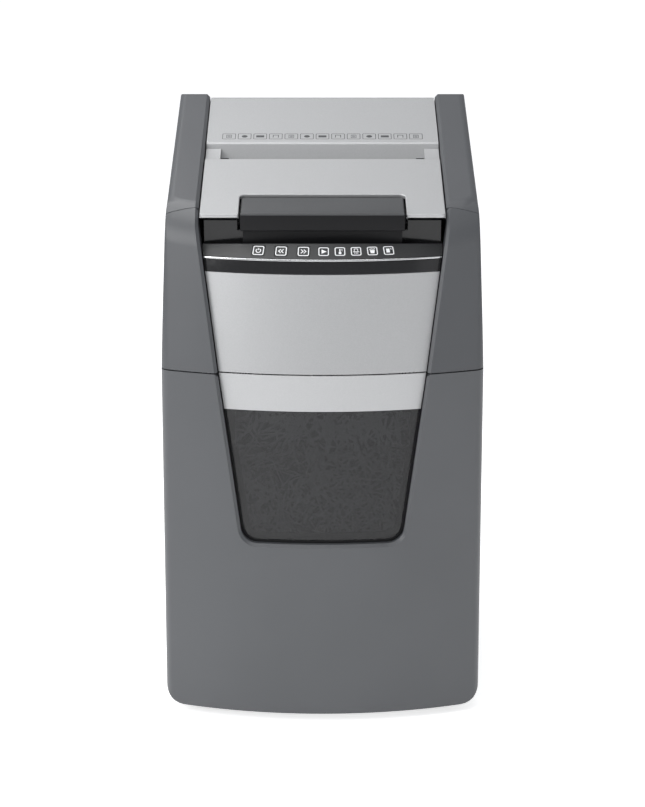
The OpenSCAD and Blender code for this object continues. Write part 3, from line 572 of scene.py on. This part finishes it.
def add_shells():
    """Shells with softened edges for the parts whose edges are seen."""
    for node in ("side_panel_left", "side_panel_right"):
        add_shell(node, 0.0018)
    for node in ("bin_fascia", "head_side_left", "head_side_right", "rail_left", "rail_right"):
        add_shell(node, 0.0008, is_opening_edge, OPENING_CHAMFER)
    add_shell("lid_upper", 0.0005, is_slot_lip, SLOT_LIP)
    thin_edged = (
        "front_panel", "bin_trim", "window_frame", "rear_cover", "accent_band", "chrome_strip",
        "control_panel", "recess_trim", "back_panel", "switch_housing", "power_rocker",
        "cord_gland", "gear_cover", "pressure_plate",
    )
    for node in thin_edged:
        add_shell(node, 0.0005)
    for node in ("power_key", "reverse_key", "forward_key", "indicator_lenses"):
        add_shell(node, 0.0009)
    add_shell("rubber_feet", 0.0015)


def lid_place():
    """Place on the lid's top plane at X = 0 on its hinge line: Y is up the slope."""
    bm = cad_bmesh("lid_upper")
    place = outer_face(list(bm.faces), Vector((0, -0.26, 0.97)))
    bm.free()
    place.translation.x = 0
    return place


def along_slope(place, y):
    """How far up the slope of place a point lies whose Y is given, in millimetres."""
    return (y - place.translation.y) / place.col[1].y / MM


def cut_below(bm, place, depth):
    """Keeps what lies more than depth millimetres under a place, and closes the cut."""
    out = place.col[2].to_3d()
    point = place.translation - out * depth * MM
    geometry = bm.verts[:] + bm.edges[:] + bm.faces[:]
    cut = bmesh.ops.bisect_plane(bm, geom=geometry, plane_co=point, plane_no=out, clear_outer=True)
    edges = [e for e in cut["geom_cut"] if isinstance(e, bmesh.types.BMEdge)]
    bmesh.ops.holes_fill(bm, edges=edges, sides=0)
    many_sided = [f for f in bm.faces if len(f.verts) > 60]
    bmesh.ops.triangulate(bm, faces=many_sided)


def add_flap():
    """The front of the lid: a plate with rounded corners round the handle, on the CAD's ribs."""
    place = lid_place()
    low, high = box_of("lid_flap")
    handle_high = box_of("lid_handle")[1]
    half = high[0] / MM
    notch = HANDLE_HALF + NOTCH_GAP
    front = along_slope(place, low[1])
    back = along_slope(place, SLOT_FRONT_Y)
    notch_back = along_slope(place, handle_high[1] + NOTCH_GAP_BACK * MM)
    corners = [
        (-half, front, 4), (-notch, front, 1.5), (-notch, notch_back, 7), (notch, notch_back, 7),
        (notch, front, 1.5), (half, front, 4), (half, back, 0.8), (-half, back, 0.8),
    ]
    rounded_edge = [(1.1, 0), (0.55, -0.15), (0.15, -0.55), (0, -1.1)]
    bm = bmesh.new()
    bm.from_mesh(frame["nodes"]["lid_flap"].data)
    bmesh.ops.remove_doubles(bm, verts=bm.verts, dist=1e-6)
    cut_below(bm, place, FLAP_PLATE)
    soften(bm, 0.0003)
    slab(bm, place, outline(corners), rounded_edge + [(0, -FLAP_PLATE - 0.1)])
    finish_shell("lid_flap", bm)


def add_handle():
    """The lid's handle: a black body under a dark grey cap."""
    bm = cad_bmesh("lid_handle")
    place = outer_face(list(bm.faces), Vector((0, -0.1, 1)))
    low, high = box_of("lid_handle")
    half = HANDLE_HALF + HANDLE_PROUD
    front = along_slope(place, low[1]) - HANDLE_PROUD
    back = along_slope(place, high[1]) + HANDLE_PROUD
    soften(bm, 0.0005)
    add_piece("handle_body", bm, "handle", "black_plastic", replaced=["lid_handle"])
    corners = [(-half, front, 1.5), (half, front, 1.5), (half, back, 5), (-half, back, 5)]
    rounded_edge = [(2.2, HANDLE_PROUD), (1.3, 0.05), (0.6, -0.3), (0.15, -0.95), (0, -1.8)]
    cap = bmesh.new()
    slab(cap, place, outline(corners), rounded_edge + [(0, -CAP_DEPTH)])
    add_piece("handle_cap", cap, "handle", "handle_plastic", replaced=["lid_handle"])


# Printed marks: points and widths in millimetres

def power_symbol(bm, place):
    """A ring that is open at the top, with a bar in the gap."""
    arc = [math.radians(122 + i * 296 / 18) for i in range(19)]
    stroke(bm, place, [(2.5 * math.cos(a), 2.5 * math.sin(a) - 0.2) for a in arc], 0.9)
    stroke(bm, place, [(0, 0.6), (0, 3.3)], 0.9)


def chevrons(bm, place, way):
    """Two arrowheads that point right, or left where way is -1."""
    for shift in (-1.5, 1.5):
        points = [(way * x + shift, y) for x, y in ((-1.2, 2.5), (1.2, 0), (-1.2, -2.5))]
        stroke(bm, place, points, 0.9)


def reverse_symbol(bm, place):
    chevrons(bm, place, -1)


def forward_symbol(bm, place):
    chevrons(bm, place, 1)


def play_symbol(bm, place):
    fill_mark(bm, place, [(-2.2, -2.8), (3.2, 0), (-2.2, 2.8)])


def heat_symbol(bm, place):
    """A thermometer."""
    stroke(bm, place, [(0, -1.4), (0, 3.3)], 1.3)
    dot_mark(bm, place, 0, -2, 1.6)
    for y in (1, 2.6):
        stroke(bm, place, [(1.5, y), (2.8, y)], 0.5)


def sheet_symbol(bm, place):
    """A sheet that is cut into strips below a line."""
    stroke(bm, place, [(-1.9, 0.1), (-1.9, 3.2), (1.9, 3.2), (1.9, 0.1)], 0.7)
    stroke(bm, place, [(-3.4, -0.6), (3.4, -0.6)], 0.8)
    for x in (-1.6, 0, 1.6):
        stroke(bm, place, [(x, -1.5), (x, -3.2)], 0.6)


def full_bin_symbol(bm, place):
    fill_mark(bm, place, [(-2, -3), (2, -3), (2.7, 1.2), (-2.7, 1.2)])
    stroke(bm, place, [(-3.2, 2.2), (-1, 2.8), (1.2, 2.4), (3.2, 3)], 0.8)


def door_symbol(bm, place):
    fill_mark(bm, place, [(-2.6, -2.6), (1.2, -2.6), (1.2, 2.6), (-2.6, 2.6)])
    stroke(bm, place, [(2.2, 2.9), (3.3, 1.4)], 0.8)


KEY_SYMBOLS = {
    "power_key": power_symbol,
    "reverse_key": reverse_symbol,
    "forward_key": forward_symbol,
}
LENS_SYMBOLS = (play_symbol, heat_symbol, sheet_symbol, full_bin_symbol, door_symbol)
PANEL_LOOKS = Vector((0, -0.67, 0.74))      # the way that the control strip faces


def add_panel_marks():
    """A white outline and a symbol on each key and on each indicator."""
    for node, symbol in KEY_SYMBOLS.items():
        bm = cad_bmesh(node)
        place = outer_face(list(bm.faces), PANEL_LOOKS)
        bm.free()
        marks = bmesh.new()
        frame_mark(marks, place, 6, 2, 1)
        symbol(marks, place)
        add_piece("symbol_" + node, marks, body_of(node), material="symbol_ink", smooth=0)
    bm = cad_bmesh("indicator_lenses")
    marks = bmesh.new()
    for faces, symbol in zip(separate_faces(bm), LENS_SYMBOLS):
        place = outer_face(faces, PANEL_LOOKS)
        frame_mark(marks, place, 5.6, 2, 1)
        symbol(marks, place)
    bm.free()
    add_piece("symbols_indicator_lenses", marks, "cabinet", material="symbol_ink", smooth=0)


def add_lid_marks():
    """A row of plain outlined marks behind the manual slot, each with a simple shape in it."""
    place = lid_place()
    bm = bmesh.new()
    middle = along_slope(place, LID_MARK_Y)
    for i in range(LID_MARK_COUNT):
        x = (i - (LID_MARK_COUNT - 1) / 2) * LID_MARK_PITCH
        spot = place @ Matrix.Translation((x * MM, middle * MM, 0))
        frame_mark(bm, spot, 7.7, 1.2, 0.7)
        kind = i % 4
        if kind == 0:
            frame_mark(bm, spot @ Matrix.Diagonal((0.75, 1, 1, 1)), 4.2, 0.5, 0.8)
            for y in (-1.6, 0, 1.6):
                stroke(bm, spot, [(-1.8, y), (1.8, y)], 0.5)
        elif kind == 1:
            dot_mark(bm, spot, 0, 0, 3.4)
        elif kind == 2:
            fill_mark(bm, spot, [(-4.6, -2.8), (4.6, -2.8), (4.6, 2.8), (-4.6, 2.8)])
        else:
            stroke(bm, spot, [(-3, -3.4), (-3, 3.4), (3, 3.4), (3, -3.4)], 0.9)
    add_piece("lid_marks", bm, "lid", material="lid_ink", smooth=0)


# Shredded paper

def bin_front_y(x):
    """The inside of the tub's front wall, which bows with the cabinet."""
    bow = BOW_R - math.sqrt(BOW_R * BOW_R - x * x)
    return box_of("bin_fascia")[0][1] + bow + TUB_FRONT_INSET


def heap_top(x, y):
    """Height of the heap's lumpy surface, which falls towards the back."""
    wave = noise.noise(Vector((x * 9, y * 9, 4.2)))
    fine = noise.noise(Vector((x * 35, y * 35, 1.7)))
    slope = -HEAP_SLOPE * (y - box_of("bin_tub")[0][1])
    return HEAP_TOP + slope + 0.014 * wave + 0.004 * fine


def add_heap():
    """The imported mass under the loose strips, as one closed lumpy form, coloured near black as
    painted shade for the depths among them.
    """
    low, high = box_of("bin_tub")
    wall = 0.012
    half = high[0] - wall
    back = high[1] - wall
    behind_strips = 0.010
    under_strips = 0.007
    tub_floor = 0.006
    bm = bmesh.new()
    grid = []
    for i in range(HEAP_COLUMNS + 1):
        x = -half + 2 * half * i / HEAP_COLUMNS
        front = bin_front_y(x) + behind_strips
        line = []
        for j in range(HEAP_ROWS + 1):
            y = front + (back - front) * j / HEAP_ROWS
            z = heap_top(x, y) - under_strips
            line.append(bm.verts.new((x, y, z)))
        grid.append(line)
    for i in range(HEAP_COLUMNS):
        for j in range(HEAP_ROWS):
            bm.faces.new((grid[i][j], grid[i + 1][j], grid[i + 1][j + 1], grid[i][j + 1]))
    front_rim = [line[0] for line in grid]
    back_rim = [line[-1] for line in grid[-2::-1]]
    rim = front_rim + grid[-1][1:] + back_rim + grid[0][-2:0:-1]
    floor_z = low[2] + tub_floor
    previous = rim
    for level in range(1, HEAP_LEVELS + 1):
        ring = []
        for vert in rim:
            z = vert.co.z + (floor_z - vert.co.z) * level / HEAP_LEVELS
            lump = HEAP_LUMP * noise.noise(Vector((vert.co.x * 60, z * 60, vert.co.y * 60)))
            inwards = Vector((-vert.co.x, 0.02 - vert.co.y, 0)).normalized() * (HEAP_LUMP + lump)
            ring.append(bm.verts.new((vert.co.x + inwards.x, vert.co.y + inwards.y, z)))
        for k in range(len(rim)):
            m = (k + 1) % len(rim)
            bm.faces.new((previous[k], ring[k], ring[m], previous[m]))
        previous = ring
    bm.faces.new(previous)
    bmesh.ops.recalc_face_normals(bm, faces=bm.faces)
    add_piece("shredded_heap", bm, "bin", material="heap_painted_shade", smooth=60)


def fits_bin(point, limits):
    """Whether a point lies inside the limits and behind the tub's front wall."""
    low, high = limits
    return all(low[k] < point[k] < high[k] for k in range(3)) and point.y > bin_front_y(point.x)


def add_strip(bm, chance, middle, normal, limits, loose=1):
    """One strip of paper that lies about flat on a surface, if it fits inside the limits.

    loose says how far it bends and turns away from the surface, from 0 to 1. Every strip
    draws the same count of numbers from chance, whether it fits or not.
    """
    along = normal.orthogonal()
    along.rotate(Matrix.Rotation(chance.uniform(0, math.tau), 3, normal))
    along = (along + normal * chance.uniform(-0.35, 0.35) * loose).normalized()
    side = normal.cross(along).normalized()
    side.rotate(Matrix.Rotation(chance.gauss(0, 0.5) * loose, 3, along))
    out = along.cross(side)
    length = chance.uniform(0.016, 0.036)
    width = chance.uniform(0.0017, 0.0032)
    bend = chance.uniform(-1.1, 1.1) * loose
    twist = chance.uniform(-0.7, 0.7) * loose
    rings = []
    for k in range(STRIP_STEPS + 1):
        t = k / STRIP_STEPS - 0.5
        centre = middle + along * length * t + out * length * bend * (0.25 - t * t)
        across = side.copy()
        across.rotate(Matrix.Rotation(twist * t, 3, along))
        up = along.cross(across)
        rings.append([
            centre + across * width * a / 2 + up * PAPER * b / 2
            for a, b in ((-1, -1), (1, -1), (1, 1), (-1, 1))
        ])
    if limits and not all(fits_bin(point, limits) for ring in rings for point in ring):
        return
    corners = [[bm.verts.new(point) for point in ring] for ring in rings]
    for near, far in zip(corners, corners[1:]):
        for k in range(4):
            m = (k + 1) % 4
            bm.faces.new((near[k], near[m], far[m], far[k]))
    bm.faces.new(corners[0][::-1])
    bm.faces.new(corners[-1])


def add_shreds():
    """Loose strips on the heap's front, between the tub and the window, and on the heap's top."""
    low, high = box_of("bin_tub")
    wall = 0.004
    limits = (low + Vector((wall, wall, wall)), high - Vector((wall, wall, wall)))
    edge = 0.01
    chance = random.Random(8)
    bm = bmesh.new()
    for _ in range(FRONT_STRIPS):
        x = chance.uniform(-FRONT_STRIPS_HALF, FRONT_STRIPS_HALF)
        z = chance.uniform(FRONT_STRIPS_LOW, HEAP_TOP + 0.004)
        depth = chance.uniform(0.002, 0.013)
        normal = Vector((chance.gauss(0, 0.25), -1, chance.gauss(0, 0.25))).normalized()
        add_strip(bm, chance, Vector((x, bin_front_y(x) + depth, z)), normal, limits)
    add_piece("shreds_front", bm, "bin", material="paper", smooth=60)
    bm = bmesh.new()
    for _ in range(WINDOW_STRIPS):
        x = chance.uniform(-WINDOW_STRIPS_HALF, WINDOW_STRIPS_HALF)
        z = chance.uniform(WINDOW_STRIPS_LOW, high[2] - 0.02)
        turned = math.asin(x / BOW_R)
        normal = Vector((math.sin(turned), -math.cos(turned), 0))
        middle = Vector((x, bin_front_y(x) - WINDOW_STRIPS_OUT, z))
        add_strip(bm, chance, middle, normal, None, 0.04)
    add_piece("shreds_at_window", bm, "bin", material="paper", smooth=60)
    bm = bmesh.new()
    for _ in range(TOP_STRIPS):
        x = chance.uniform(low[0] + edge, high[0] - edge)
        y = chance.uniform(bin_front_y(x) + wall, high[1] - edge)
        rise = chance.uniform(-0.006, 0.006)
        normal = Vector((chance.gauss(0, 0.35), chance.gauss(0, 0.35), 1)).normalized()
        add_strip(bm, chance, Vector((x, y, heap_top(x, y) + rise)), normal, limits)
    add_piece("shreds_top", bm, "bin", material="paper", smooth=60)


# Screws and springs

def cross_outline(reach, half_width):
    """A cross with a point for each of a screw's sides, in their order round the circle."""
    middle = (reach + half_width) / 2
    quarter = [
        (reach, 0), (reach, half_width), (middle, half_width), (half_width, half_width),
        (half_width, middle), (half_width, reach),
    ]
    return [Matrix.Rotation(math.pi / 2 * k, 2) @ Vector(p) for k in range(4) for p in quarter]


def add_screws():
    """The back's pan-head screws, each with a cross recess."""
    bm = bmesh.new()
    cad = cad_bmesh("screws")
    seam = box_of("head_side_right")[0][2]
    circle = [Vector((math.cos(a), math.sin(a))) for a in circle_angles(SCREW_SIDES)]
    for faces in separate_faces(cad):
        place = outer_face(faces, Vector((0, 1, 0)))
        head = HEAD_SCREW if place.translation.z > seam else PANEL_SCREW
        # Radius and height of each ring, from the tip of the shank to the top of the head.
        shank = [(1.9, -head - 6.8), (1.9, -head)]
        levels = shank + [(3.6, -head), (3.6, -0.7), (3.3, -0.25), (2.8, 0)]
        rings = [[p * radius for p in circle] for radius, height in levels]
        rings += [cross_outline(1.9, 0.4), cross_outline(1.5, 0.25)]
        heights = [height for radius, height in levels] + [0, -1]
        corners = [
            [bm.verts.new(place @ Vector((p.x * MM, p.y * MM, height * MM))) for p in ring]
            for ring, height in zip(rings, heights)
        ]
        for near, far in zip(corners, corners[1:]):
            for k in range(SCREW_SIDES):
                m = (k + 1) % SCREW_SIDES
                bm.faces.new((near[k], near[m], far[m], far[k]))
        bm.faces.new(corners[0][::-1])
        bm.faces.new(corners[-1])
    cad.free()
    add_piece("screw_heads", bm, body_of("screws"), slots["screws"], replaced=["screws"])


def add_springs():
    """The pressure plate's torsion springs, wound round its pins."""
    bm = bmesh.new()
    cad = cad_bmesh("plate_springs")
    for faces in separate_faces(cad):
        xs = [vert.co.x for face in faces for vert in face.verts]
        centre = sum((face.calc_center_bounds() for face in faces), Vector()) / len(faces)
        start = min(xs) + COIL_END
        end = max(xs) - COIL_END
        points = []
        for k in range(COIL_STEPS + 1):
            angle = math.tau * COIL_TURNS * k / COIL_STEPS
            x = start + (end - start) * k / COIL_STEPS
            y = centre.y + COIL_RADIUS * math.cos(angle)
            z = centre.z + COIL_RADIUS * math.sin(angle)
            points.append(Vector((x, y, z)))
        tube(bm, points, COIL_WIRE)
    cad.free()
    body = body_of("plate_springs")
    add_piece("spring_coils", bm, body, slots["plate_springs"], replaced=["plate_springs"])


# Floor and CAD nodes

def add_floor():
    """A plain pale floor round the shredder."""
    bm = bmesh.new()
    bmesh.ops.create_grid(bm, x_segments=2, y_segments=2, size=FLOOR_SIZE)
    mesh = bpy.data.meshes.new("floor")
    bm.to_mesh(mesh)
    bm.free()
    mesh.materials.append(materials["floor"])
    floor = bpy.data.objects.new("floor", mesh)
    scene.collection.objects.link(floor)


def finish_cad_nodes():
    """Gives each CAD node the material of its slot."""
    for node, cad in frame["nodes"].items():
        cad.data.materials.clear()
        cad.data.materials.append(materials[slots[node]])


# The whole model

add_camera()
add_lights()
materials = make_materials()
finish_cad_nodes()
add_shells()
add_flap()
add_handle()
add_panel_marks()
add_lid_marks()
add_heap()
add_shreds()
add_springs()
add_screws()
add_floor()
